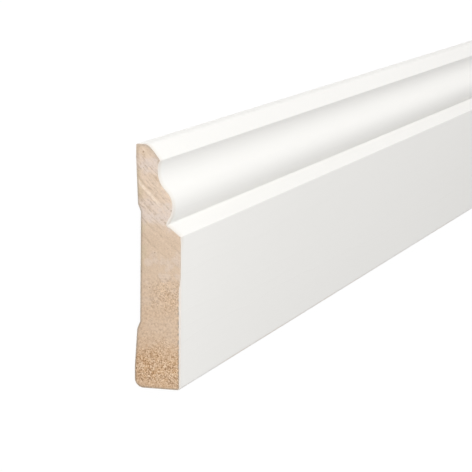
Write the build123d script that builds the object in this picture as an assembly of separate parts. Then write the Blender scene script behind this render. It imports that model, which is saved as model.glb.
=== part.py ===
from build123d import *
import math
import os

# Colonial moulding: one length of planed pine with an ogee along its head and a relieved back.
# It lies on its back. X runs along the length, +Y is the moulded head edge, -Y is the foot edge,
# and Z is the distance out from the wall plane. The origin is the middle of the wall plane.

# Overall sizes, in millimetres
LENGTH = 2400.0
WIDTH = 92.0  # foot edge to head edge
THICKNESS = 18.0  # wall plane to flat face

# Head edge, measured down from the head
HEAD_FLAT = 5.0  # wall plane to the chamfer, before their corner is rounded
HEAD_ROUND = 3.0  # radius of that corner
NOSE_DROP = 6.0  # head edge to the sharp nose, where the chamfer meets the cove

# Ogee, a hollow cove that turns into a round bead
COVE_RADIUS = 9.25
COVE_DROP = 10.0  # head edge to the cove's centre, which lies in the plane of the flat face
BEAD_RADIUS = 9.25
BEAD_SINK = 3.25  # flat face back to the bead's crown
QUIRK_SINK = 2.3  # bead's crown back to the quirk, the groove under the bead
BEVEL_RUN = 4.25  # quirk to the arris, along the width

# Relieved back, the same from either edge
HEEL = 5.0  # flat strip beside each edge that touches the wall
LAND = 22.5  # edge to the shoulder of the relief
LAND_FALL = 0.85  # how far a land leaves the wall between its heel and its shoulder
SHOULDER_RUN = 2.75  # slope from a land to the relief's floor, along the width
RELIEF_DEPTH = 2.0  # wall plane to the relief's floor
FOOT_ROUND = 3.5  # radius of the foot's back corner
FOOT_EASE = 1.0  # radius of the foot's front arris

HEAD = WIDTH / 2
FOOT = -WIDTH / 2


def ogee_points() -> tuple[Vector, Vector, Vector, Vector]:
    """Nose, turn, quirk and arris of the ogee, as (along the width, out from the wall)."""
    cove_centre = Vector(HEAD - COVE_DROP, THICKNESS)
    nose_rise = COVE_DROP - NOSE_DROP
    nose = cove_centre + Vector(nose_rise, -math.sqrt(COVE_RADIUS**2 - nose_rise**2))

    # The bead is tangent to the cove, so their centres are both radii apart.
    centre_gap = COVE_RADIUS + BEAD_RADIUS
    bead_depth = BEAD_SINK + BEAD_RADIUS
    bead_centre = cove_centre - Vector(math.sqrt(centre_gap**2 - bead_depth**2), bead_depth)
    turn = cove_centre + (bead_centre - cove_centre) * (COVE_RADIUS / centre_gap)

    quirk_rise = BEAD_RADIUS - QUIRK_SINK
    quirk = bead_centre + Vector(-math.sqrt(BEAD_RADIUS**2 - quirk_rise**2), quirk_rise)
    arris = Vector(quirk.X - BEVEL_RUN, THICKNESS)
    return nose, turn, quirk, arris


def section() -> Sketch:
    """The moulding's section, drawn from the head's back corner round the face to the back."""
    nose, turn, quirk, arris = ogee_points()
    head_back = Vector(HEAD, 0)
    head_front = Vector(HEAD, HEAD_FLAT)
    foot_front = Vector(FOOT, THICKNESS)
    foot_back = Vector(FOOT, 0)
    outline = Curve() + [
        Polyline(head_back, head_front, nose),
        RadiusArc(nose, turn, COVE_RADIUS),
        RadiusArc(turn, quirk, -BEAD_RADIUS),
        Polyline(quirk, arris, foot_front, foot_back),
        Polyline(
            foot_back,
            (FOOT + FOOT_ROUND + HEEL, 0),
            (FOOT + LAND, LAND_FALL),
            (FOOT + LAND + SHOULDER_RUN, RELIEF_DEPTH),
            (HEAD - LAND - SHOULDER_RUN, RELIEF_DEPTH),
            (HEAD - LAND, LAND_FALL),
            (HEAD - HEEL, 0),
            head_back,
        ),
    ]
    shape = make_face(outline)
    for corner, radius in ((head_front, HEAD_ROUND), (foot_front, FOOT_EASE), (foot_back, FOOT_ROUND)):
        shape = fillet(shape.vertices().sort_by_distance(corner)[0], radius)
    return shape


moulding = extrude(Plane.YZ * section(), amount=LENGTH / 2, both=True)
moulding.label = "moulding"

os.makedirs("parts", exist_ok=True)
export_step(moulding, "parts/moulding.step")
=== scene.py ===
"""Colonial pine moulding, dressed: one planed length, primed white, sawn bare at both ends.

The part lies on its back. X runs along it, +Y is the moulded head edge, Z is out of the face.
Sizes in the classes are millimetres, and meshes are made in metres.
"""

import logging
import math
from dataclasses import dataclass
from enum import Enum
from typing import NamedTuple

import bpy
import numpy as np
from mathutils import Matrix, Vector, noise
from mathutils.geometry import delaunay_2d_cdt

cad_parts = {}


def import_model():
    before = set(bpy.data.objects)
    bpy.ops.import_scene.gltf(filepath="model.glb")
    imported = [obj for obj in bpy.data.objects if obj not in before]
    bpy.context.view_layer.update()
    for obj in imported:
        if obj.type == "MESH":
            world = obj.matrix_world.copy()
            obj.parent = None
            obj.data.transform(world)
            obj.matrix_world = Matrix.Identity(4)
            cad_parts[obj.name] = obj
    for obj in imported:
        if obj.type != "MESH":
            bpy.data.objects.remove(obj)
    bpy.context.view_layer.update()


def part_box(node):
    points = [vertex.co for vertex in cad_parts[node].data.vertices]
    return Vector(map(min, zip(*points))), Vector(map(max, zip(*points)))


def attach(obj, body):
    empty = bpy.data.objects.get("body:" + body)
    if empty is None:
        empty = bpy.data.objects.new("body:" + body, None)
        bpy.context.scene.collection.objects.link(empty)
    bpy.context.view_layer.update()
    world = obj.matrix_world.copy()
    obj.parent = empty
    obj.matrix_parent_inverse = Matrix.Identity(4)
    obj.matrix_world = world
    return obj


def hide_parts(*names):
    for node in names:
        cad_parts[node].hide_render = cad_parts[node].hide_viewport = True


MM = 0.001
NODE = "moulding"
BODY = "root"
BAKE_MAP = "OFBake"
CRISP_ANGLE = math.radians(55)
WOOD_SINK = 0.1  # end plane back to the sawn wood
WHITE = (1.0, 1.0, 1.0, 1.0)
LOG = logging.getLogger("moulding")

Colour = tuple[float, float, float, float]
Spot = tuple[float, float]
Place = tuple[float, float, float]
Socket = bpy.types.NodeSocket
Input = Socket | float | tuple
Sockets = bpy.types.bpy_prop_collection
Tree = bpy.types.NodeTree
Material = bpy.types.Material
Piece = bpy.types.Object


class Coat(Enum):
    """Finishes of the primed body, in the order of its material slots."""

    FACE = 0
    BACK = 1
    CUT_EDGE = 2


class Slot(Enum):
    """Material slots of the record."""

    PRIMER = "white_primer"
    PINE = "sawn_pine"


class End(Enum):
    """The two sawn ends, by the way each one faces along X."""

    NEAR = -1
    FAR = 1


class Ease(NamedTuple):
    """A smooth change from start to end, while the value that it reads goes from low to high."""

    low: float
    high: float
    start: float = 0.0
    end: float = 1.0


class Wiring:
    """Adds and links the nodes of one shader tree."""

    def __init__(self, tree: Tree) -> None:
        """Keeps the tree that every call adds to."""
        self.tree = tree

    @classmethod
    def fresh(cls, owner: Material | bpy.types.World) -> "Wiring":
        """Empties the tree of a material or a world, and returns its wiring."""
        owner.use_nodes = True
        owner.node_tree.nodes.clear()
        return cls(owner.node_tree)

    def feed(self, socket: Socket, value: Input) -> None:
        """Links an output to a socket, or sets the socket's own value.

        Args:
            socket: The input to feed.
            value: Another node's output, or a plain value.
        """
        if isinstance(value, Socket):
            self.tree.links.new(value, socket)
        else:
            socket.default_value = value

    def node(self, kind: str, inputs: dict | None = None, **settings: object) -> bpy.types.Node:
        """Adds a node.

        Args:
            kind: Blender's name for the node type.
            inputs: Values or outputs for its inputs, by name or place.
            **settings: Attributes of the node.

        Returns:
            The new node.
        """
        made = self.tree.nodes.new(kind)
        for name, value in settings.items():
            setattr(made, name, value)
        for name, value in (inputs or {}).items():
            self.feed(made.inputs[name], value)
        return made

    def math(self, operation: str, *values: Input) -> Socket:
        """Adds a Math node and returns its value."""
        return self.node("ShaderNodeMath", dict(enumerate(values)), operation=operation).outputs[0]

    def product(self, first: Input, *others: Input) -> Socket:
        """Multiplies values together."""
        for other in others:
            first = self.math("MULTIPLY", first, other)
        return first

    def most(self, first: Input, *others: Input) -> Socket:
        """Gives the largest of some values."""
        for other in others:
            first = self.math("MAXIMUM", first, other)
        return first

    def centred(self, value: Input, scale: Input = 1.0, base: Input = 0.0) -> Socket:
        """Scales how far a value lies from one half, and adds a base."""
        return self.math("MULTIPLY_ADD", self.math("SUBTRACT", value, 0.5), scale, base)

    def ramp(self, value: Input, ease: Ease) -> Socket:
        """Carries a value through an ease."""
        inputs = {"Value": value, **dict(enumerate(ease, start=1))}
        return self.node("ShaderNodeMapRange", inputs, interpolation_type="SMOOTHSTEP").outputs[0]

    def vector(self, operation: str, *values: Input) -> Socket:
        """Adds a Vector Math node and returns its vector."""
        made = self.node("ShaderNodeVectorMath", dict(enumerate(values)), operation=operation)
        return made.outputs["Vector"]

    def join(self, x: Input, y: Input, z: Input) -> Socket:
        """Makes a vector of three values."""
        return self.node("ShaderNodeCombineXYZ", {"X": x, "Y": y, "Z": z}).outputs[0]

    def split(self, vector: Socket) -> Sockets:
        """Gives a vector's X, Y and Z by name."""
        return self.node("ShaderNodeSeparateXYZ", {0: vector}).outputs

    def from_spot(self, place: Socket, spot: Spot) -> Socket:
        """Gives the way to a place from a spot in the section, without its X."""
        return self.vector("MULTIPLY", self.vector("SUBTRACT", place, (0.0, *spot)), (0.0, 1.0, 1.0))

    def length(self, vector: Socket) -> Socket:
        """Measures a vector."""
        return self.node("ShaderNodeVectorMath", {0: vector}, operation="LENGTH").outputs["Value"]

    def place_mm(self) -> Socket:
        """Gives the point on the piece in millimetres."""
        where = self.node("ShaderNodeTexCoord").outputs["Object"]
        scaled = self.node("ShaderNodeVectorMath", {0: where, "Scale": 1 / MM}, operation="SCALE")
        return scaled.outputs["Vector"]

    def attribute(self, name: str) -> Socket:
        """Reads a value that the mesh holds for each point."""
        return self.node("ShaderNodeAttribute", attribute_name=name).outputs["Fac"]

    def noise(self, place: Socket, scale: Input, detail: float = 1.0, rough: float = 0.5) -> Socket:
        """Adds a noise texture and returns its value, from 0 to 1."""
        inputs = {"Vector": place, "Scale": scale, "Detail": detail, "Roughness": rough}
        return self.node("ShaderNodeTexNoise", inputs).outputs[0]

    def blend(self, share: Input, first: Input, second: Input) -> Socket:
        """Mixes a share of a second colour into a first one."""
        made = self.node("ShaderNodeMix", {"Factor": share, 6: first, 7: second}, data_type="RGBA")
        return made.outputs[2]

    def bump(self, height: Socket, strength: float = 1.0) -> Socket:
        """Turns a height in metres into a normal."""
        inputs = {"Height": height, "Distance": 1.0, "Strength": strength}
        return self.node("ShaderNodeBump", inputs).outputs["Normal"]


class GroupMaker:
    """Builds a shader node group with named sockets."""

    def __init__(self, name: str, inputs: dict[str, float], outputs: tuple[str, ...]) -> None:
        """Makes the group and its sockets.

        Args:
            name: The group's name.
            inputs: Each input's name and usual value.
            outputs: Each output's name.
        """
        self.tree = bpy.data.node_groups.new(name, "ShaderNodeTree")
        for label, usual in inputs.items():
            socket = self.tree.interface.new_socket(label, in_out="INPUT", socket_type="NodeSocketFloat")
            socket.default_value = usual
        for label in outputs:
            self.tree.interface.new_socket(label, in_out="OUTPUT", socket_type="NodeSocketFloat")
        self.wiring = Wiring(self.tree)
        self.inputs = self.wiring.node("NodeGroupInput").outputs

    def stretched(self, label: str) -> Socket:
        """Gives the point on the piece, with its X scaled by one of the group's inputs."""
        w = self.wiring
        return w.vector("MULTIPLY", w.place_mm(), w.join(self.inputs[label], 1.0, 1.0))

    def finish(self, results: dict[str, Socket]) -> Tree:
        """Links the results to the group's outputs and returns the group."""
        self.wiring.node("NodeGroupOutput", results)
        return self.tree


@dataclass(frozen=True)
class PineGrain:
    """How this piece of pine grew: the pith's place and the rings round it, in millimetres."""

    pith: Spot = (134.0, 110.0)
    ring_width: float = 4.8
    ring_offset: float = 4.6
    drift: tuple[float, float, float] = (0.004, 0.05, 0.05)
    waver: tuple[float, float, float] = (0.02, 0.3, 0.3)
    waver_share: float = 0.6
    late_starts: Ease = Ease(0.78, 0.93)
    late_ends: Ease = Ease(0.95, 1.0, 1.0, 0.0)
    early_starts: Ease = Ease(0.0, 0.08)
    early_ends: Ease = Ease(0.1, 0.45, 1.0, 0.0)
    pale_year: float = 144.8
    pale_band: Ease = Ease(0.2, 0.9, 1.0, 0.0)
    pale_reach: Ease = Ease(7.0, 11.0, 1.0, 0.0)
    line_pitch: float = 1.15
    line_width: Ease = Ease(0.08, 0.24, 1.0, 0.0)
    line_breaks: Ease = Ease(0.5, 0.62)
    line_scale: float = 0.4
    fleck_scale: float = 1.3
    fleck_stretch: float = 45.0
    fleck_lengthwise: float = 0.03
    canal: Ease = Ease(0.03, 0.1, 1.0, 0.0)

    def rings_group(self) -> Tree:
        """Builds the growth rings, which every finish of this wood reads.

        Returns:
            A group that puts out Latewood, the dark line that ends a ring, Earlywood, the pale
            band that starts one, Streak, one year that stayed pale, Tone, a value from 0 to 1 that
            differs from ring to ring, Lines, broken hair lines between the rings, and Flecks,
            short dashes that lie along them.
        """
        names = ("Latewood", "Earlywood", "Streak", "Tone", "Lines", "Flecks")
        maker = GroupMaker("growth_rings", {"Wander": 1.0}, names)
        w = maker.wiring
        place = w.place_mm()
        from_pith = w.from_spot(place, self.pith)
        drift = w.centred(w.noise(w.vector("MULTIPLY", place, self.drift), 1.0, 2.0))
        sway = w.centred(w.noise(w.vector("MULTIPLY", place, self.waver), 1.0), self.waver_share, drift)
        radius = w.math("SUBTRACT", w.length(from_pith), self.ring_offset)
        radius = w.math("MULTIPLY_ADD", sway, maker.inputs["Wander"], radius)
        growth = w.math("DIVIDE", radius, self.ring_width)
        age = w.math("FRACT", growth)
        year = w.node("ShaderNodeTexWhiteNoise", {"W": w.math("FLOOR", growth)}, noise_dimensions="1D")
        late = w.product(w.ramp(age, self.late_starts), w.ramp(age, self.late_ends))
        early = w.product(w.ramp(age, self.early_starts), w.ramp(age, self.early_ends))
        axes, spread = w.split(place), w.split(from_pith)
        apart = w.math("ABSOLUTE", w.math("SUBTRACT", radius, self.pale_year))
        streak = w.product(w.ramp(apart, self.pale_band), w.ramp(axes["Z"], self.pale_reach))
        turned = w.product(w.math("ARCTAN2", spread["Z"], spread["Y"]), self.fleck_stretch)
        dash = w.join(radius, turned, w.product(axes["X"], self.fleck_lengthwise))
        hair = w.math("ABSOLUTE", w.centred(w.math("FRACT", w.math("DIVIDE", radius, self.line_pitch))))
        breaks = w.ramp(w.noise(dash, self.line_scale), self.line_breaks)
        lines = w.product(w.ramp(hair, self.line_width), breaks)
        flecks = w.noise(dash, self.fleck_scale, 2.0)
        found = (late, early, streak, year.outputs["Value"], lines, flecks)
        return maker.finish(dict(zip(names, found)))

    def fibre_group(self) -> Tree:
        """Builds the fibres, which are dots on a sawn end and streaks along a face.

        Returns:
            A group that puts out Fibre, from 0 to 1, Bundles, a value from 0 to 1 for each bundle
            of fibres, and Canals, the small dark resin canals.
        """
        maker = GroupMaker("pine_fibre", {"Lengthwise": 1.0, "Scale": 1.0}, ("Fibre", "Bundles", "Canals"))
        w = maker.wiring
        place, scale = maker.stretched("Lengthwise"), maker.inputs["Scale"]
        cells = w.node("ShaderNodeTexVoronoi", {"Vector": place, "Scale": scale}).outputs
        bundles = w.node("ShaderNodeSeparateColor", {0: cells["Color"]}).outputs[0]
        canals = w.ramp(cells["Distance"], self.canal)
        return maker.finish({"Fibre": w.noise(place, scale, 2.0), "Bundles": bundles, "Canals": canals})


@dataclass(frozen=True)
class PrimerFilm:
    """The primer's own surface, drawn out along the length by the machine that laid it."""

    stretch: float = 0.3
    mottle_scale: float = 0.03
    stipple_scale: float = 1.6
    stipple_rough: float = 0.6
    detail: float = 3.0

    def group(self) -> Tree:
        """Builds the surface.

        Returns:
            A group that puts out Mottle, broad unevenness of the coat, and Stipple, fine texture.
        """
        maker = GroupMaker("primer_film", {"Stretch": self.stretch}, ("Mottle", "Stipple"))
        w = maker.wiring
        place = maker.stretched("Stretch")
        mottle = w.noise(place, self.mottle_scale, self.detail)
        stipple = w.noise(place, self.stipple_scale, self.detail, self.stipple_rough)
        return maker.finish({"Mottle": mottle, "Stipple": stipple})


@dataclass(frozen=True)
class SharedGroups:
    """The shader groups that the finishes share."""

    rings: Tree
    fibre: Tree
    film: Tree

    @classmethod
    def build(cls, grain: PineGrain, film: PrimerFilm) -> "SharedGroups":
        """Builds each group once."""
        return cls(grain.rings_group(), grain.fibre_group(), film.group())


class Finish:
    """A material with a Principled shader, made by its subclasses."""

    @staticmethod
    def start(name: str, specular: float) -> tuple[Material, Wiring, Sockets]:
        """Makes a material that holds only its shader.

        Args:
            name: The material's name.
            specular: How strongly the surface reflects.

        Returns:
            The material, the wiring of its tree and the shader's inputs.
        """
        material = bpy.data.materials.new(name)
        wiring = Wiring.fresh(material)
        shader = wiring.node("ShaderNodeBsdfPrincipled", {"Specular IOR Level": specular})
        wiring.node("ShaderNodeOutputMaterial", {"Surface": shader.outputs["BSDF"]})
        return material, wiring, shader.inputs

    @staticmethod
    def group(wiring: Wiring, tree: Tree, **inputs: float) -> Sockets:
        """Places a shared group in a material and returns its outputs."""
        return wiring.node("ShaderNodeGroup", inputs, node_tree=tree).outputs


@dataclass(frozen=True)
class PrimerCoat(Finish):
    """White primer over pine, whose grain shows through where the coat is thin."""

    name: str
    half_length: float
    colour: Colour = (0.868, 0.858, 0.832, 1.0)
    wood: Colour = (0.64, 0.49, 0.34, 1.0)
    wood_shows: float = 0.0
    grain_shows: float = 0.03
    roughness: float = 0.6
    roughness_range: float = 0.16
    specular: float = 0.25
    ridge_mm: float = 0.03
    stipple_mm: float = 0.02
    bump: float = 0.6
    shade: float = 0.8
    uneven: float = 0.12
    ring_wander: float = 7.0
    years: Ease = Ease(0.0, 1.0, 0.3, 1.0)
    lengthwise: float = 0.02
    fibre_scale: float = 1.3
    fibre_share: float = 0.5
    mottle_share: float = 0.5
    thin_coat: Ease = Ease(0.35, 0.75)
    # Beside the sawn ends: thin primer, and painted shade of the rounded cut edge
    edge_wear_and_shade_share: float = 0.22
    edge_wear_and_shade_reach: float = 4.6
    edge_wear_and_shade_by_height: Ease = Ease(4.0, 12.0, 0.25, 1.0)

    def material(self, groups: SharedGroups) -> Material:
        """Builds the coat.

        Args:
            groups: The shared shader groups.

        Returns:
            The material.
        """
        material, w, shader = self.start(self.name, self.specular)
        rings = self.group(w, groups.rings, Wander=self.ring_wander)
        fibre = self.group(w, groups.fibre, Lengthwise=self.lengthwise, Scale=self.fibre_scale)["Fibre"]
        film = self.group(w, groups.film)
        grain = w.product(rings["Latewood"], w.ramp(rings["Tone"], self.years))
        thin = w.ramp(w.centred(film["Mottle"], self.mottle_share, fibre), self.thin_coat)
        # Wood colour beside the sawn ends is partly thin primer, partly painted shade of the rounded cut
        # edge.
        bare = w.most(w.product(thin, self.wood_shows), self.worn(w))
        coat = w.blend(bare, self.colour, self.wood)
        shade = (*(self.shade * part for part in self.colour[:3]), 1.0)
        uneven = w.centred(film["Mottle"], self.uneven, w.product(grain, self.grain_shows))
        ridges = w.product(w.math("MULTIPLY_ADD", fibre, self.fibre_share, grain), self.ridge_mm * MM)
        height = w.math("MULTIPLY_ADD", film["Stipple"], self.stipple_mm * MM, ridges)
        w.feed(shader["Base Color"], w.blend(uneven, coat, shade))
        w.feed(shader["Roughness"], w.centred(film["Stipple"], self.roughness_range, self.roughness))
        w.feed(shader["Normal"], w.bump(height, self.bump))
        return material

    def worn(self, w: Wiring) -> Socket:
        """Gives the share of wood colour beside the sawn ends: thin primer at the cut, and painted shade
        where the cut edge rounds over.
        """
        place = w.split(w.place_mm())
        beside_end = Ease(self.half_length - self.edge_wear_and_shade_reach, self.half_length, 0.0, self.edge_wear_and_shade_share)
        near_end = w.ramp(w.math("ABSOLUTE", place["X"]), beside_end)
        return w.product(near_end, w.ramp(place["Y"], self.edge_wear_and_shade_by_height))


class EndPoint:
    """The point of a sawn end that a material colours, as outputs in that material's tree."""

    def __init__(self, w: Wiring, foot: float, head: float) -> None:
        """Reads where the point is.

        Args:
            w: The wiring of the material's tree.
            foot: Y of the foot edge.
            head: Y of the head edge.
        """
        self.w = w
        self.foot, self.head = foot, head
        self.place = w.place_mm()
        axes = w.split(self.place)
        self.across, self.out = axes["Y"], axes["Z"]
        self.from_back = w.attribute("back_gap")
        self.from_edge = w.attribute("edge_gap")

    def rise(self, ease: Ease, level: Socket | None = None) -> Socket:
        """Carries a height through an ease, whose low and high are shares of the way up the end."""
        low, high = (self.foot + share * (self.head - self.foot) for share in (ease.low, ease.high))
        height = self.across if level is None else level
        return self.w.ramp(height, Ease(low, high, ease.start, ease.end))

    def cloud(self, scale: float, detail: float = 1.0) -> Socket:
        """Gives a noise at the point."""
        return self.w.noise(self.place, scale, detail)

    def away(self, spot: Spot) -> Socket:
        """Measures how far the point is from a spot of the end."""
        return self.w.length(self.w.from_spot(self.place, spot))


@dataclass(frozen=True)
class SawnPine(Finish):
    """End grain: pale at the head with a few growth rings, browner and torn towards the foot.

    An ease that follows the height has low and high as shares of the way from foot to head.
    """

    name: str
    foot: float
    head: float
    foot_colour: Colour = (0.672, 0.467, 0.304, 1.0)
    middle_colour: Colour = (0.712, 0.557, 0.422, 1.0)
    head_colour: Colour = (0.788, 0.641, 0.518, 1.0)
    rosy_colour: Colour = (0.776, 0.668, 0.598, 1.0)
    tan_colour: Colour = (0.715, 0.565, 0.425, 1.0)
    olive_colour: Colour = (0.660, 0.560, 0.400, 1.0)
    late_colour: Colour = (0.500, 0.380, 0.270, 1.0)
    early_colour: Colour = (0.920, 0.785, 0.655, 1.0)
    orange_colour: Colour = (0.650, 0.400, 0.205, 1.0)
    pit_colour: Colour = (0.300, 0.160, 0.072, 1.0)
    tuft_colour: Colour = (0.930, 0.720, 0.520, 1.0)
    # Painted shade along the sawn end's edges
    rim_shade_colour: Colour = (0.320, 0.275, 0.225, 1.0)
    roughness: float = 0.85
    roughness_range: float = 0.2
    specular: float = 0.2
    fuzz_mm: float = 0.12

    # Grain that is read from the shared groups
    ring_wander: float = 1.6
    lengthwise: float = 0.3
    coarse_scale: float = 2.1
    fine_scale: float = 4.5
    canal_stretch: float = 0.1
    canal_scale: float = 0.28

    # Colour from foot to head, and the clouds in it
    brown_ends: Ease = Ease(0.11, 0.23, 0.0, 0.7)
    brown_fades: Ease = Ease(0.3, 0.46, 0.0, 0.3)
    pale_head: Ease = Ease(0.6, 0.77)
    cloud_scale: float = 0.2
    rosy_bands: tuple[Spot, ...] = ((17.5, 26.2), (36.4, 41.8))
    rosy_tilt: float = 0.2
    rosy_edge: float = 1.2
    rosy_scale: float = 0.35
    rosy_wave: float = 5.0
    rosy_cloud: Ease = Ease(0.35, 0.6, 0.55, 1.0)
    faint_cloud: Ease = Ease(0.5, 0.6, 0.0, 0.4)
    faint_starts: Ease = Ease(0.3, 0.5, 0.2, 1.0)
    faint_ends: Ease = Ease(0.54, 0.6, 1.0, 0.0)
    tan_cloud: Ease = Ease(0.52, 0.36, 0.0, 0.65)
    olive_edge: Ease = Ease(0.5, 3.5, 0.55, 0.0)
    olive_cloud: Ease = Ease(0.54, 0.44)
    olive_starts: Ease = Ease(0.45, 0.55)
    olive_ends: Ease = Ease(0.9, 0.93, 1.0, 0.1)

    # Rings, flecks and dapples
    break_scale: float = 0.55
    breaks: Ease = Ease(0.36, 0.6, 0.15, 1.0)
    streak_breaks: Ease = Ease(0.15, 0.7, 0.45, 1.0)
    rings_show: Ease = Ease(0.45, 0.7, 0.12, 0.9)
    late_years: Ease = Ease(0.0, 1.0, 0.3, 0.9)
    early_years: Ease = Ease(0.0, 1.0, 0.3, 0.1)
    lines_show: float = 0.6
    flecks_show: Ease = Ease(0.6, 0.8, 0.25, 1.3)
    dapple_scale: float = 1.05
    dapples_show: Ease = Ease(0.4, 0.5, 1.2, 0.0)
    shading: float = 0.9

    # Torn fibres and resin
    ragged_scale: float = 0.16
    ragged_wave: float = 14.0
    torn_foot: Ease = Ease(0.06, 0.26, 1.0, 0.0)
    torn_base: Ease = Ease(0.0, 0.06, 0.35, 0.92)
    torn_patch: Spot = (-10.5, 13.0)
    torn_reach: Ease = Ease(2.7, 9.0, 0.5, 0.12)
    orange_scale: float = 0.3
    orange_cloud: Ease = Ease(0.42, 0.6, 0.2, 0.85)
    dots: Ease = Ease(0.36, 0.64, -0.6, 0.6)
    bundles_show: float = 1.6
    dashes_show: float = 2.0
    resin_spot: Spot = (43.1, 2.9)
    resin_reach: Ease = Ease(0.165, 0.55, 1.0, 0.0)
    resin_shows: float = 0.6

    # Dark rim: painted shade along the sawn end's edges
    dot_scale: float = 0.9
    rim_dots: Ease = Ease(0.45, 0.62, 0.0, 0.8)
    dots_end: Ease = Ease(0.25, 0.5, 1.0, 0.0)
    foot_rim: Ease = Ease(0.02, 0.18, 0.55, 0.0)
    face_rim: Ease = Ease(0.1, 0.8, 1.0, 0.0)
    back_rim: Ease = Ease(0.0, 0.9, 0.65, 0.0)
    back_rim_fades: Ease = Ease(0.8, 0.95, 1.0, 0.45)
    head_rim: Ease = Ease(0.1, 1.4, 1.0, 0.0)
    head_rim_starts: Ease = Ease(0.89, 0.95, 0.0, 0.36)

    def material(self, groups: SharedGroups) -> Material:
        """Builds the end grain.

        Args:
            groups: The shared shader groups.

        Returns:
            The material.
        """
        material, w, shader = self.start(self.name, self.specular)
        point = EndPoint(w, self.foot, self.head)
        rings = self.group(w, groups.rings, Wander=self.ring_wander)
        coarse = self.group(w, groups.fibre, Lengthwise=self.lengthwise, Scale=self.coarse_scale)
        fine = self.group(w, groups.fibre, Lengthwise=self.lengthwise, Scale=self.fine_scale)["Fibre"]
        canals = self.group(w, groups.fibre, Lengthwise=self.canal_stretch, Scale=self.canal_scale)["Canals"]
        torn = self.torn(point)
        wood = self.ringed(point, self.coloured(point), rings)
        wood = self.speckled(point, wood, torn, coarse, rings["Flecks"])
        resin = w.most(canals, w.ramp(point.away(self.resin_spot), self.resin_reach))
        wood = w.blend(w.product(resin, self.resin_shows), wood, self.pit_colour)
        fuzz = w.math("MULTIPLY_ADD", coarse["Fibre"], torn, fine)
        # Painted shade: a dark rim along the sawn end's edges
        w.feed(shader["Base Color"], w.blend(self.rim(point), wood, self.rim_shade_colour))
        w.feed(shader["Roughness"], w.centred(fine, self.roughness_range, self.roughness))
        w.feed(shader["Normal"], w.bump(w.product(fuzz, self.fuzz_mm * MM)))
        return material

    def rosy(self, point: EndPoint) -> Socket:
        """Marks the bands of pinker wood, which lie nearly level across the end.

        Args:
            point: The point on the end.

        Returns:
            A mask from 0 to 1.
        """
        w = point.w
        level = w.math("MULTIPLY_ADD", point.out, self.rosy_tilt, point.across)
        level = w.centred(point.cloud(self.rosy_scale), self.rosy_wave, level)
        bands = []
        for low, high in self.rosy_bands:
            above = w.ramp(level, Ease(low - self.rosy_edge, low + self.rosy_edge))
            below = w.ramp(level, Ease(high - self.rosy_edge, high + self.rosy_edge, 1.0, 0.0))
            bands.append(w.product(above, below))
        return w.most(*bands)

    def coloured(self, point: EndPoint) -> Socket:
        """Colours the wood from foot to head, with clouds of rosy, tan and olive.

        Args:
            point: The point on the end.

        Returns:
            The colour.
        """
        w = point.w
        cloud = point.cloud(self.cloud_scale, 2.0)
        rosy = self.rosy(point)
        plain = w.math("SUBTRACT", 1.0, rosy)
        upper = point.rise(self.pale_head)
        lower = w.math("ADD", point.rise(self.brown_ends), point.rise(self.brown_fades))
        wood = w.blend(lower, self.foot_colour, self.middle_colour)
        wood = w.blend(upper, wood, self.head_colour)
        pink = w.product(w.ramp(cloud, self.rosy_cloud), rosy)
        middle = w.product(point.rise(self.faint_starts), point.rise(self.faint_ends))
        faint = w.product(w.ramp(cloud, self.faint_cloud), middle)
        wood = w.blend(w.most(pink, faint), wood, self.rosy_colour)
        tan = w.product(w.ramp(cloud, self.tan_cloud), upper, plain)
        wood = w.blend(tan, wood, self.tan_colour)
        stretch = w.product(point.rise(self.olive_starts), point.rise(self.olive_ends))
        olive = w.product(w.ramp(point.from_back, self.olive_edge), w.ramp(cloud, self.olive_cloud))
        return w.blend(w.product(olive, stretch, plain), wood, self.olive_colour)

    def ringed(self, point: EndPoint, wood: Socket, rings: Sockets) -> Socket:
        """Draws the growth rings, and the flecks and soft dapples between them.

        Args:
            point: The point on the end.
            wood: Colour of the wood.
            rings: Outputs of the growth rings.

        Returns:
            The colour.
        """
        w = point.w
        broken = w.ramp(point.cloud(self.break_scale), self.breaks)
        show = w.product(broken, point.rise(self.rings_show))
        late = w.product(rings["Latewood"], w.ramp(rings["Tone"], self.late_years))
        dark = w.most(late, w.product(rings["Lines"], self.lines_show))
        early = w.product(rings["Earlywood"], w.ramp(rings["Tone"], self.early_years))
        streak = w.product(rings["Streak"], w.ramp(broken, self.streak_breaks))
        wood = w.blend(w.product(dark, show), wood, self.late_colour)
        wood = w.blend(w.most(w.product(early, show), streak), wood, self.early_colour)
        dashes = w.centred(rings["Flecks"], w.product(broken, point.rise(self.flecks_show)))
        dapple = w.centred(point.cloud(self.dapple_scale), point.rise(self.dapples_show), dashes)
        return self.shaded(w, wood, dapple)

    def torn(self, point: EndPoint) -> Socket:
        """Tells how torn the fibres are, from 0 to 1: most at the foot, and in one patch."""
        w = point.w
        ragged = w.centred(point.cloud(self.ragged_scale), self.ragged_wave, point.across)
        foot = w.product(point.rise(self.torn_foot, ragged), point.rise(self.torn_base))
        return w.most(foot, w.ramp(point.away(self.torn_patch), self.torn_reach))

    def speckled(
        self, point: EndPoint, wood: Socket, torn: Socket, fibre: Sockets, flecks: Socket
    ) -> Socket:
        """Strews pits and tufts of torn fibre over the wood.

        Args:
            point: The point on the end.
            wood: Colour of the wood.
            torn: How torn it is.
            fibre: Outputs of the fibres.
            flecks: Dashes along the rings.

        Returns:
            The colour.
        """
        w = point.w
        warm = w.product(w.ramp(point.cloud(self.orange_scale, 2.0), self.orange_cloud), torn, torn)
        wood = w.blend(warm, wood, self.orange_colour)
        speck = w.centred(fibre["Bundles"], self.bundles_show, w.ramp(fibre["Fibre"], self.dots))
        speck = w.centred(flecks, self.dashes_show, speck)
        return self.shaded(w, wood, w.product(speck, torn))

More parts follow.
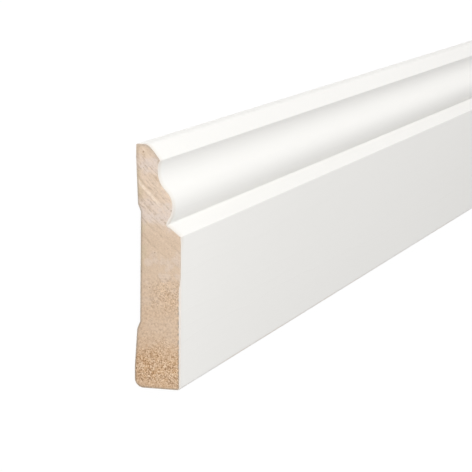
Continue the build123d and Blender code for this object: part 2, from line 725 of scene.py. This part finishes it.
    def shaded(self, w: Wiring, wood: Socket, amount: Socket) -> Socket:
        """Darkens the wood to its pits where an amount is under 0, and pales it where it is over."""
        for sign, colour in ((-1, self.pit_colour), (1, self.tuft_colour)):
            share = w.node("ShaderNodeClamp", {"Value": w.product(amount, sign * self.shading)}).outputs[0]
            wood = w.blend(share, wood, colour)
        return wood

    def rim(self, point: EndPoint) -> Socket:
        """Draws painted shade: a dark rim along the back and head, and broken dots of it beside the face.

        Args:
            point: The point on the end.

        Returns:
            A mask of painted shade, from 0 to 1.
        """
        w = point.w
        dotted = w.ramp(point.cloud(self.dot_scale), self.rim_dots)
        low = w.most(w.product(dotted, point.rise(self.dots_end)), point.rise(self.foot_rim))
        beside_face = w.product(w.ramp(point.from_edge, self.face_rim), low)
        along_back = w.product(w.ramp(point.from_back, self.back_rim), point.rise(self.back_rim_fades))
        crown = w.product(w.ramp(point.from_edge, self.head_rim), point.rise(self.head_rim_starts))
        return w.most(crown, along_back, beside_face)


@dataclass(frozen=True)
class Corner:
    """One corner of the section, the radius that eases it, and the coat on the stretch after it."""

    y: float
    z: float
    radius: float = 0.0
    coat: Coat = Coat.FACE
    hollow: bool = False

    @property
    def limits_film(self) -> bool:
        """Tells whether the primer has to stay thinner than the corner's radius."""
        return self.radius > 0.0 and not self.hollow


@dataclass(frozen=True)
class Outline:
    """A closed outline in the YZ plane, drawn anticlockwise as seen from +X."""

    points: np.ndarray
    normals: np.ndarray
    coats: tuple[Coat, ...]
    room: np.ndarray

    def inset(self, depth: np.ndarray) -> np.ndarray:
        """Gives the points moved inwards by a depth for each of them."""
        return self.points - self.normals * depth[:, None]

    def arc_lengths(self) -> np.ndarray:
        """Gives the way along the outline to each point, and last the whole way round."""
        steps = np.linalg.norm(np.roll(self.points, -1, axis=0) - self.points, axis=1)
        return np.concatenate([[0.0], np.cumsum(steps)])


@dataclass(frozen=True)
class FilmThickness:
    """How thick the primer is round the section. It shows as a white edge at the sawn ends."""

    face: tuple[Spot, ...] = (  # height and thickness, where the surface faces out from the wall
        (-46.0, 0.55),
        (-34.0, 0.75),
        (-9.0, 1.05),
        (-3.0, 0.3),
        (10.0, 0.35),
        (12.0, 0.5),
        (15.0, 0.45),
        (17.5, 1.1),
        (19.5, 0.85),
        (26.0, 0.35),
        (36.0, 0.3),
        (39.2, 0.5),
        (41.0, 0.05),
        (43.5, 0.1),
        (46.0, 0.5),
    )
    edges_and_back: float = 0.12
    uneven: float = 0.3
    wave: float = 0.7
    wave_row: float = 3.0
    slope: float = 0.5

    def along(self, outline: Outline) -> np.ndarray:
        """Works out the thickness at each point of an outline.

        Args:
            outline: The section's outline.

        Returns:
            The thicknesses, which fall evenly towards a sharp edge.
        """
        way = outline.arc_lengths()
        waves = np.array([noise.noise((self.wave * s, 0.0, self.wave_row)) for s in way[:-1]])
        worn = 1 - self.uneven * (0.5 + 0.5 * waves)
        facing = np.clip(2 * outline.normals[:, 1], 0, 1)
        face = np.interp(outline.points[:, 0], *zip(*self.face))
        wanted = self.edges_and_back + (face * worn - self.edges_and_back) * facing
        apart = np.abs(way[:-1, None] - way[None, :-1])
        apart = np.minimum(apart, way[-1] - apart)
        return np.min(np.minimum(outline.room, wanted) + self.slope * apart, axis=1)


@dataclass(frozen=True)
class Section:
    """The moulding's section, with primer softening its edges. Sizes are as in the part's source."""

    width: float
    thickness: float
    head_flat: float = 5.0
    head_round: float = 3.0
    nose_drop: float = 6.0
    cove_radius: float = 9.25
    cove_drop: float = 10.0
    bead_radius: float = 9.25
    bead_sink: float = 3.25
    quirk_sink: float = 2.3
    bevel_run: float = 4.25
    heel: float = 5.0
    land: float = 22.5
    land_fall: float = 0.85
    shoulder_run: float = 2.75
    relief_depth: float = 2.0
    foot_round: float = 3.5
    foot_ease: float = 1.0
    arris_ease: float = 0.45
    quirk_fill: float = 0.6
    back_ease: float = 1.5
    film_room: float = 0.8
    flat_step: float = 1.0
    arc_step: float = 0.45
    corner_steps: int = 4

    def ogee(self) -> list[Corner]:
        """Draws the face from the nose over the cove and bead to the arris.

        Returns:
            The ogee's corners, with its arcs as rows of plain points.
        """
        cove = np.array([self.width / 2 - self.cove_drop, self.thickness])
        rise = self.cove_drop - self.nose_drop
        nose = cove + [rise, -math.sqrt(self.cove_radius**2 - rise**2)]
        gap = self.cove_radius + self.bead_radius
        depth = self.bead_sink + self.bead_radius
        bead = cove - [math.sqrt(gap**2 - depth**2), depth]
        turn = cove + (bead - cove) * self.cove_radius / gap
        rise = self.bead_radius - self.quirk_sink
        quirk = bead + [-math.sqrt(self.bead_radius**2 - rise**2), rise]
        return [
            Corner(*nose, self.arris_ease),
            *(Corner(*p) for p in self.arc(cove, nose, turn)[1:-1]),
            *(Corner(*p) for p in self.arc(bead, turn, quirk)[:-1]),
            Corner(*quirk, self.quirk_fill, hollow=True),
            Corner(quirk[0] - self.bevel_run, self.thickness, self.arris_ease),
        ]

    def arc(self, centre: np.ndarray, start: np.ndarray, end: np.ndarray) -> np.ndarray:
        """Divides the short arc between two points about a centre."""
        first, last = (math.atan2(*(p - centre)[::-1]) for p in (start, end))
        return self.swept(centre, start, (last - first + math.pi) % math.tau - math.pi)

    def swept(self, centre: np.ndarray, start: np.ndarray, turn: float, fewest: int = 1) -> np.ndarray:
        """Divides the arc that a point makes as it turns about a centre.

        Args:
            centre: The arc's centre.
            start: Where the point starts.
            turn: The angle that it turns by.
            fewest: The fewest steps to divide the arc into.

        Returns:
            The points of the arc, with both ends.
        """
        radius = np.linalg.norm(start - centre)
        count = max(fewest, math.ceil(abs(turn) * radius / self.arc_step))
        angles = math.atan2(*(start - centre)[::-1]) + turn * np.linspace(0, 1, count + 1)
        return centre + radius * np.column_stack([np.cos(angles), np.sin(angles)])

    def corners(self) -> list[Corner]:
        """Lists the corners from the head's back, down the face and up the back."""
        head, foot = self.width / 2, -self.width / 2
        floor = self.land + self.shoulder_run
        back = (
            (foot + self.foot_round + self.heel, 0.0),
            (foot + self.land, self.land_fall),
            (foot + floor, self.relief_depth),
            (head - floor, self.relief_depth),
            (head - self.land, self.land_fall),
            (head - self.heel, 0.0),
        )
        return [
            Corner(head, 0.0, self.arris_ease),
            Corner(head, self.head_flat, self.head_round),
            *self.ogee(),
            Corner(foot, self.thickness, self.foot_ease, Coat.BACK),
            Corner(foot, 0.0, self.foot_round, Coat.BACK),
            *(Corner(y, z, self.back_ease, Coat.BACK) for y, z in back),
        ]

    def eased(self, before: Corner, corner: Corner, after: Corner) -> np.ndarray:
        """Rounds one corner.

        Args:
            before: The corner that comes before.
            corner: The corner to round.
            after: The corner that comes next.

        Returns:
            The points of its arc, or the corner itself where it has no radius.
        """
        spot = np.array([corner.y, corner.z])
        if corner.radius == 0.0:
            return spot[None]
        into = spot - [before.y, before.z]
        out = np.array([after.y, after.z]) - spot
        into, out = into / np.linalg.norm(into), out / np.linalg.norm(out)
        turn = math.atan2(into[0] * out[1] - into[1] * out[0], into @ out)
        start = spot - into * corner.radius * math.tan(abs(turn) / 2)
        centre = start + math.copysign(corner.radius, turn) * np.array([-into[1], into[0]])
        return self.swept(centre, start, turn, self.corner_steps)

    def outline(self) -> Outline:
        """Draws the whole section with its corners eased and its flats divided.

        Returns:
            The outline, with a normal at each point and a coat for the stretch after it.
        """
        corners = self.corners()
        drawn = []
        for i, corner in enumerate(corners):
            arc = self.eased(corners[i - 1], corner, corners[(i + 1) % len(corners)])
            room = self.film_room * corner.radius if corner.limits_film else math.inf
            drawn.extend((spot, corner.coat, room) for spot in arc)
        points, coats, rooms = [], [], []
        for i, (spot, coat, room) in enumerate(drawn):
            after = drawn[(i + 1) % len(drawn)][0]
            count = max(1, math.ceil(np.linalg.norm(after - spot) / self.flat_step))
            points.extend(spot + (after - spot) * k / count for k in range(count))
            coats.extend([coat] * count)
            rooms.extend([room] + [math.inf] * (count - 1))
        path = np.array(points)
        along = np.roll(path, -1, axis=0) - np.roll(path, 1, axis=0)
        along /= np.linalg.norm(along, axis=1)[:, None]
        return Outline(path, np.column_stack([along[:, 1], -along[:, 0]]), tuple(coats), np.array(rooms))


def put_in_scene(name: str, data: bpy.types.ID) -> bpy.types.Object:
    """Makes an object of a mesh, lamp or camera and puts it in the scene."""
    made = bpy.data.objects.new(name, data)
    bpy.context.scene.collection.objects.link(made)
    return made


def add_piece(name: str, mesh: bpy.types.Mesh) -> Piece:
    """Puts a finished mesh in the scene as a piece that stands for the CAD node.

    Args:
        name: The piece's name.
        mesh: Its mesh, in the row frame.

    Returns:
        The piece.
    """
    piece = put_in_scene(name, mesh)
    mesh.set_sharp_from_angle(angle=CRISP_ANGLE)
    piece.modifiers.new("even_normals", "WEIGHTED_NORMAL").keep_sharp = True
    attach(piece, BODY)
    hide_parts(NODE)
    return piece


def make_mesh(name: str, points: np.ndarray, faces: list, uvs: np.ndarray) -> bpy.types.Mesh:
    """Makes a smooth mesh in metres with the map that it is baked through.

    Args:
        name: The mesh's name.
        points: Its corners, in millimetres.
        faces: The corners of each face.
        uvs: A map point for each corner of each face.

    Returns:
        The mesh.
    """
    mesh = bpy.data.meshes.new(name)
    mesh.from_pydata((points * MM).tolist(), [], faces)
    layer = mesh.uv_layers.new(name=BAKE_MAP)
    layer.uv.foreach_set("vector", np.asarray(uvs, dtype=np.float32).ravel())
    mesh.shade_smooth()
    return mesh


class Ring(NamedTuple):
    """One ring of the skin's points, and whether the stretch after it is a cut edge."""

    x: float
    points: np.ndarray
    cut: bool


@dataclass
class PrimedBody:
    """The primed skin along the whole length, with a shallow pocket in each end for the bare wood."""

    outline: Outline
    start: float
    end: float
    film: np.ndarray
    lip: float = 0.3
    crest_share: float = 0.5
    shoulder_share: float = 0.12
    shoulder_reach: float = 0.3
    pocket: float = 1.6
    station: float = 50.0
    strips: int = 3
    strip_share: float = 0.3
    cut_bands: int = 10
    band_inset: float = 0.1
    margin: float = 0.008

    def rings(self) -> list[Ring]:
        """Lists the rings of points from the near pocket's floor to the far one's."""
        wood = self.outline.inset(self.film)
        crest = self.outline.inset(self.film * self.crest_share)
        shoulder = self.outline.inset(self.film * self.shoulder_share)
        near = [
            Ring(self.start + self.pocket, wood, True),
            Ring(self.start + WOOD_SINK, wood, True),
            Ring(self.start, crest, True),
            Ring(self.start + self.lip * self.shoulder_reach, shoulder, True),
            Ring(self.start + self.lip, self.outline.points, False),
        ]
        far = [Ring(self.start + self.end - ring.x, ring.points, True) for ring in reversed(near)]
        count = round((self.end - self.start) / self.station)
        middle = np.linspace(self.start, self.end, count + 1)[1:-1]
        return near + [Ring(x, self.outline.points, False) for x in middle] + far

    def build(self) -> Piece:
        """Builds the skin as one closed mesh and gives each face its coat.

        Returns:
            The piece.
        """
        rings = self.rings()
        count = len(self.outline.points)
        points = np.concatenate([np.column_stack([np.full(count, ring.x), ring.points]) for ring in rings])
        way = self.outline.arc_lengths()
        round_section = way / way[-1]
        faces, uvs, coats = [], [], []
        for row, ring in enumerate(rings[:-1]):
            here, there = row * count, (row + 1) * count
            for j in range(count):
                k = (j + 1) % count
                faces.append([here + j, here + k, there + k, there + j])
                coats.append(Coat.CUT_EDGE if ring.cut else self.outline.coats[j])
                uvs.extend(self.quad_map(rings, row, round_section[j : j + 2]))
        last = len(points) - count
        for cap in (list(range(count))[::-1], list(range(last, last + count))):
            faces.append(cap)
            coats.append(Coat.CUT_EDGE)
            uvs.extend(self.cap_map(points[cap, 1:]))
        mesh = make_mesh("primed_body", points, faces, np.array(uvs))
        mesh.polygons.foreach_set("material_index", [c.value for c in coats])
        return add_piece("primed_body", mesh)

    def quad_map(self, rings: list[Ring], row: int, sides: np.ndarray) -> list[Spot]:
        """Places one face of the skin on the map.

        The long stretches lie as strips side by side, and the cut edges in bands above them.

        Args:
            rings: The rings of points.
            row: The ring that the face starts from.
            sides: Shares of the way round the section at which the face starts and ends.

        Returns:
            The map points of its four corners.
        """
        usable = 1 - 2 * self.margin
        if rings[row].cut:
            from_last = len(rings) - 1 - row
            band = row if row < from_last else self.cut_bands - from_last
            height = (1 - self.strips * self.strip_share) / self.cut_bands
            low = self.strips * self.strip_share + band * height
            u0, u1 = self.margin + usable * sides
            v0, v1 = low + self.band_inset * height, low + (1 - self.band_inset) * height
            return [(u0, v0), (u1, v0), (u1, v1), (u0, v1)]
        length = (self.end - self.start) / self.strips
        x0, x1 = (ring.x - self.start for ring in rings[row : row + 2])
        strip = min(self.strips - 1, int((x0 + x1) / 2 / length))
        u0, u1 = (usable * (x / length - strip) + self.margin for x in (x0, x1))
        v0, v1 = self.strip_share * (strip + self.margin + (1 - 4 * self.margin) * sides)
        return [(u0, v0), (u0, v1), (u1, v1), (u1, v0)]

    def cap_map(self, ring: np.ndarray) -> np.ndarray:
        """Places a hidden pocket floor in a corner of the map."""
        spread = (ring - ring.min(axis=0)) / np.ptp(ring, axis=0).max()
        return 1 - self.margin * (1 - spread)


@dataclass
class SawnEnd:
    """The bare wood at one end: a thin slice whose outer side is rough from the saw."""

    outline: np.ndarray
    on_back: np.ndarray
    end: End
    x: float
    depth: float = 1.5
    grid: float = 0.38
    jitter: float = 0.3
    clear_of_edge: float = 0.55
    seed: int = 7
    weld: float = 1e-7
    fuzz: float = 0.05
    tuft_scale: float = 1.7
    lump_scale: float = 0.45
    lump_row: float = 9.0
    lump_share: float = 0.6
    score: float = 0.02
    score_pitch: float = 1.3
    score_waver: float = 2.0
    saw_centre: Spot = (20.0, 152.0)
    relief_fade: float = 0.6
    map_gap: float = 0.03
    map_half: float = 0.47

    def filled(self) -> tuple[np.ndarray, np.ndarray]:
        """Fills the outline with an even, slightly irregular mesh.

        Returns:
            The points, with the outline's own first, and the triangles.
        """
        low, high = self.outline.min(axis=0), self.outline.max(axis=0)
        ys = np.arange(low[0], high[0], self.grid)
        zs = np.arange(low[1], high[1], self.grid * math.sqrt(3) / 2)
        y, z = np.meshgrid(ys, zs)
        y[1::2] += self.grid / 2
        spots = np.column_stack([y.ravel(), z.ravel()])
        draws = np.random.default_rng(self.end.value + self.seed)
        spots += draws.uniform(-1, 1, spots.shape) * self.grid * self.jitter
        kept = spots[self.inside(spots) & (self.gap(spots) > self.grid * self.clear_of_edge)]
        points = [Vector(spot) for spot in np.concatenate([self.outline, kept])]
        count = len(self.outline)
        loop = [(i, (i + 1) % count) for i in range(count)]
        filled = delaunay_2d_cdt(points, loop, [], 1, self.weld)
        return np.array([tuple(p) for p in filled[0]]), np.array(filled[2])

    def edges(self) -> zip:
        """Pairs each point of the outline with the next one."""
        return zip(self.outline, np.roll(self.outline, -1, axis=0))

    def inside(self, spots: np.ndarray) -> np.ndarray:
        """Tells which points lie inside the outline."""
        crossings = np.zeros(len(spots), dtype=int)
        for a, b in self.edges():
            spans = (a[1] > spots[:, 1]) != (b[1] > spots[:, 1])
            share = (spots[spans, 1] - a[1]) / (b[1] - a[1])
            crossings[spans] += spots[spans, 0] < a[0] + share * (b[0] - a[0])
        return crossings % 2 == 1

    def gap(self, spots: np.ndarray, back_only: bool = False) -> np.ndarray:
        """Measures how far points are from the outline.

        Args:
            spots: The points.
            back_only: Whether only the stretches on the back count.

        Returns:
            Each point's distance.
        """
        nearest = np.full(len(spots), np.inf)
        for (a, b), back in zip(self.edges(), self.on_back):
            if back or not back_only:
                share = np.clip((spots - a) @ (b - a) / ((b - a) @ (b - a)), 0, 1)
                nearest = np.minimum(nearest, np.linalg.norm(spots - a - share[:, None] * (b - a), axis=1))
        return nearest

    def rough(self, points: np.ndarray, scale: float, row: float) -> np.ndarray:
        """Gives a noise at each point, from one row of it."""
        return np.array([noise.noise((scale * y, scale * z, row)) for y, z in points])

    def relief(self, points: np.ndarray) -> np.ndarray:
        """Works out how far the sawn surface stands in or out, which fades at the outline.

        Args:
            points: Points on the end.

        Returns:
            The relief at each point, in millimetres, positive outwards.
        """
        tufts = self.rough(points, self.tuft_scale, self.x)
        lumps = self.rough(points, self.lump_scale, self.x + self.lump_row)
        from_saw = np.hypot(*(points - self.saw_centre).T)
        scores = np.sin(math.tau * from_saw / self.score_pitch + self.score_waver * lumps)
        fade = np.clip(self.gap(points) / self.relief_fade, 0, 1)
        return fade * (self.fuzz * (tufts + self.lump_share * lumps) + self.score * scores)

    def build(self) -> Piece:
        """Builds the slice as one closed mesh.

        Returns:
            The piece.
        """
        spots, triangles = self.filled()
        count, ring = len(spots), len(self.outline)
        out = self.end.value
        front = self.x - out * WOOD_SINK + out * self.relief(spots)
        behind = np.full(ring, self.x - out * self.depth)
        points = np.column_stack([np.concatenate([front, behind]), np.concatenate([spots, self.outline])])
        walls = [[j, count + j, count + (j + 1) % ring, (j + 1) % ring] for j in range(ring)]
        back = list(range(count, count + ring))[::-1]
        faces = [*triangles.tolist(), *walls, back]
        if self.end is End.NEAR:
            faces = [face[::-1] for face in faces]
        shown = len(triangles)
        uvs = [self.face_map(points[face, 1:], i < shown) for i, face in enumerate(faces)]
        name = f"{self.end.name.lower()}_end_grain"
        mesh = make_mesh(name, points, faces, np.concatenate(uvs))
        for label, back_only in (("edge_gap", False), ("back_gap", True)):
            gaps = mesh.attributes.new(label, "FLOAT", "POINT")
            gaps.data.foreach_set("value", self.gap(points[:, 1:], back_only))
        return add_piece(name, mesh)

    def face_map(self, corners: np.ndarray, shown: bool) -> np.ndarray:
        """Places one face on the map, where the end lies as two halves, one above the other.

        Args:
            corners: The face's corners.
            shown: Whether the face is on the sawn side. Hidden ones share a small corner.

        Returns:
            The map points of its corners.
        """
        low, high = self.outline.min(axis=0), self.outline.max(axis=0)
        half = (high[0] - low[0]) / 2
        if not shown:
            return 1 - self.map_gap * (high - corners) / half / 4
        upper = corners[:, 0].mean() > low[0] + half
        placed = (corners - low - [half * upper, 0]) / half
        return placed * (1 - 2 * self.map_gap) + [self.map_gap, self.map_gap + self.map_half * upper]


@dataclass(frozen=True)
class LampPair:
    """A square studio lamp and its mirror image, so that the whole length is lit alike.

    Places are millimetres from the near end's middle on the wall plane.
    """

    name: str
    place: Place
    aim: Place
    side: float
    watts: float

    def build(self, origin: Vector, length: float) -> None:
        """Hangs both lamps.

        Args:
            origin: The near end's middle, in metres.
            length: The moulding's length, in millimetres.
        """
        for end in End:
            place, aim = Vector(self.place), Vector(self.aim)
            if end is End.FAR:
                place.x, aim.x = length - place.x, length - aim.x
            name = f"{end.name.lower()}_{self.name}"
            lamp = bpy.data.lights.new(name, "AREA")
            lamp.energy = self.watts
            lamp.size = self.side * MM
            held = put_in_scene(name, lamp)
            held.location = origin + place * MM
            held.rotation_euler = (aim - place).to_track_quat("-Z", "Y").to_euler()


@dataclass
class Studio:
    """Camera, floor and light. Places are millimetres from the near end's middle on the wall plane."""

    origin: Vector
    length: float
    eye: Place = (-862.4, 148.7, 304.2)
    aim: Place = (68.8, 2.8, 18.0)
    roll_degrees: float = 0.685
    lens: float = 189.3
    clip_start: float = 10.0
    floor_side: float = 80000.0
    floor_gap: float = 0.1
    floor_tone: float = 0.8
    floor_glow: float = 1.03
    shadow_share: float = 0.05
    sky: float = 0.52
    lamps: tuple[LampPair, ...] = (
        LampPair("head_side_lamp", (420.0, 700.0, 590.0), (220.0, 0.0, 10.0), 560.0, 3.4),
        LampPair("end_lamp", (-550.0, 225.0, 390.0), (0.0, 0.0, 10.0), 250.0, 2.37),
    )

    def build(self) -> None:
        """Sets up the whole studio."""
        self.build_camera()
        self.build_floor()
        self.build_sky()
        for lamp in self.lamps:
            lamp.build(self.origin, self.length)
        bpy.context.scene.view_settings.view_transform = "Standard"

    def build_camera(self) -> None:
        """Sets the camera at the photograph's place, turned so that the head edge is up."""
        eye, aim = Vector(self.eye), Vector(self.aim)
        back = (eye - aim).normalized()
        level = Vector((0.0, 1.0, 0.0)).cross(back).normalized()
        upright = back.cross(level)
        turn = math.radians(self.roll_degrees)
        right = level * math.cos(turn) + upright * math.sin(turn)
        axes = Matrix((right, back.cross(right), back)).transposed()
        camera = put_in_scene("camera", bpy.data.cameras.new("camera"))
        camera.data.lens = self.lens
        camera.data.clip_start = self.clip_start * MM
        camera.matrix_world = Matrix.Translation(self.origin + eye * MM) @ axes.to_4x4()
        bpy.context.scene.camera = camera

    def build_floor(self) -> None:
        """Lays a floor that the camera sees as white, with a faint shadow of the object."""
        half = self.floor_side / 2 * MM
        corners = [(-half, -half, 0.0), (half, -half, 0.0), (half, half, 0.0), (-half, half, 0.0)]
        mesh = bpy.data.meshes.new("floor")
        mesh.from_pydata(corners, [], [(0, 1, 2, 3)])
        floor = put_in_scene("floor", mesh)
        floor.location.z = -self.floor_gap * MM
        material = bpy.data.materials.new("white_floor")
        w = Wiring.fresh(material)
        matte = w.node("ShaderNodeBsdfDiffuse", {"Color": (*(self.floor_tone,) * 3, 1.0)})
        glow = w.node("ShaderNodeEmission", {"Color": WHITE, "Strength": self.floor_glow})
        share = w.product(self.seen(w), 1.0 - self.shadow_share)
        mixed = w.node("ShaderNodeMixShader", {0: share, 1: matte.outputs[0], 2: glow.outputs[0]})
        w.node("ShaderNodeOutputMaterial", {"Surface": mixed.outputs[0]})
        mesh.materials.append(material)

    @staticmethod
    def seen(w: Wiring) -> Socket:
        """Gives 1 for a ray that the camera sees, straight or by a reflection, and 0 for light."""
        path = w.node("ShaderNodeLightPath").outputs
        return w.most(path["Is Camera Ray"], path["Is Glossy Ray"], path["Is Transmission Ray"])

    def build_sky(self) -> None:
        """Makes an even sky, white where it is seen."""
        world = bpy.data.worlds.new("studio_sky")
        bpy.context.scene.world = world
        w = Wiring.fresh(world)
        strength = w.math("MULTIPLY_ADD", self.seen(w), 1.0 - self.sky, self.sky)
        sky = w.node("ShaderNodeBackground", {"Color": WHITE, "Strength": strength})
        w.node("ShaderNodeOutputWorld", {"Surface": sky.outputs[0]})


@dataclass
class Moulding:
    """The whole dressed moulding: the primed body and its two sawn ends."""

    low: Vector
    high: Vector
    back_facing: float = 0.5

    def build(self) -> list[Piece]:
        """Builds and dresses each piece.

        Returns:
            The pieces.
        """
        size = (self.high - self.low) / MM
        start, end = self.low.x / MM, self.high.x / MM
        outline = Section(width=size.y, thickness=size.z).outline()
        film = FilmThickness().along(outline)
        body = PrimedBody(outline, start, end, film).build()
        wood = outline.inset(film)
        on_back = outline.normals[:, 1] < self.back_facing
        places = ((End.NEAR, start), (End.FAR, end))
        ends = [SawnEnd(wood, on_back, which, x).build() for which, x in places]
        self.dress(body, ends, size)
        return [body, *ends]

    @staticmethod
    def dress(body: Piece, ends: list[Piece], size: Vector) -> None:
        """Gives each piece its finish.

        Args:
            body: The primed body.
            ends: The two sawn ends.
            size: Length, width and thickness, in millimetres.
        """
        groups = SharedGroups.build(PineGrain(), PrimerFilm())
        half = size.x / 2
        cut_colour = (0.84, 0.78, 0.72, 1.0)
        coats = {
            Coat.FACE: PrimerCoat("face_primer", half),
            Coat.BACK: PrimerCoat("back_primer", half, wood_shows=0.3, grain_shows=0.15, roughness=0.65),
            Coat.CUT_EDGE: PrimerCoat("primer_cut_edge", half, cut_colour, roughness=0.8, edge_wear_and_shade_share=0.0),
        }
        for coat in Coat:
            body.data.materials.append(coats[coat].material(groups))
        pine = SawnPine("sawn_pine", foot=-size.y / 2, head=size.y / 2).material(groups)
        for end in ends:
            end.data.materials.append(pine)


def main() -> None:
    """Builds the moulding round its frame, then the studio."""
    logging.basicConfig(level=logging.INFO, format="%(name)s: %(message)s")
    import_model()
    low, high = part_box(NODE)
    for piece in Moulding(Vector(low), Vector(high)).build():
        LOG.info("%s has %d faces", piece.name, len(piece.data.polygons))
    near_end = Vector((low[0], (low[1] + high[1]) / 2, low[2]))
    Studio(origin=near_end, length=(high[0] - low[0]) / MM).build()


if __name__ == "__main__":
    main()
